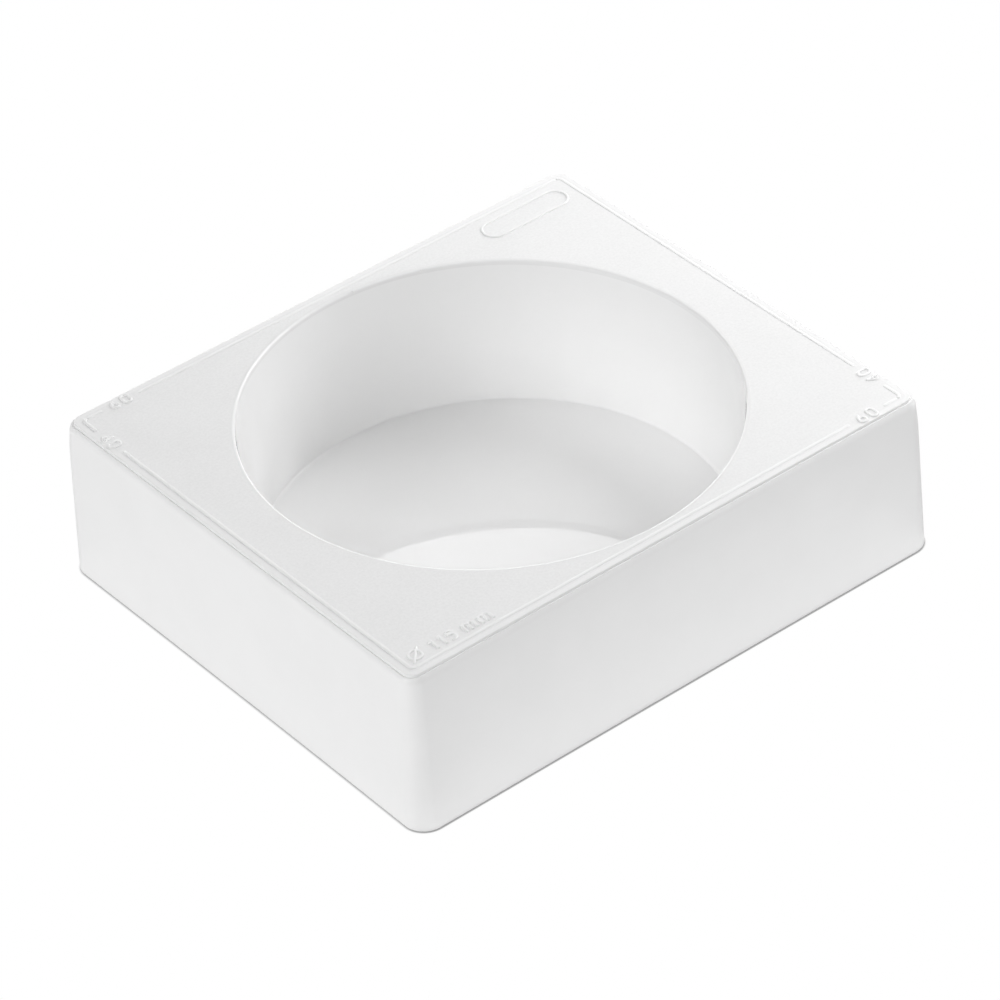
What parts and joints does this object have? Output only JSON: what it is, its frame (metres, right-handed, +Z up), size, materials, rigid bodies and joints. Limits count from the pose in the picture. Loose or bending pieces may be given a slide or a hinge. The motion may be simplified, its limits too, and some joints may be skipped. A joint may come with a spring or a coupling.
{
  "type": "casting mould",
  "caption": "Flexible white block mould with one flat-bottomed round cavity, raised guide lines and a size mark, for casting resin, soap, wax or desserts.",
  "frame": {"origin": "centre of the underside, level with the surface that the mould stands on", "axes": "+X along the long side, +Z up out of the cavity's mouth, and the front is the -Y side, from which the diameter mark reads"},
  "size_m": [0.15, 0.13, 0.0418],
  "materials": {
    "silicone_satin": "satin, white, opaque",
    "silicone_polished": "smooth and glossy, white, opaque"
  },
  "bodies": {
    "root": {"top_deck": "silicone_satin", "cavity_wall": "silicone_polished", "cavity_floor": "silicone_polished", "skirt_front": "silicone_satin", "skirt_back": "silicone_satin", "skirt_left": "silicone_satin", "skirt_right": "silicone_satin", "corner_front_left": "silicone_satin", "corner_front_right": "silicone_satin", "corner_back_left": "silicone_satin", "corner_back_right": "silicone_satin", "guide_ridge_front": "silicone_satin", "guide_ridge_back": "silicone_satin", "guide_ridge_left": "silicone_satin", "guide_ridge_right": "silicone_satin", "number_front": "silicone_satin", "number_back": "silicone_satin", "number_left": "silicone_satin", "number_right": "silicone_satin", "diameter_mark": "silicone_satin", "blank_name_panel": "silicone_satin"}
  },
  "joints": []
}
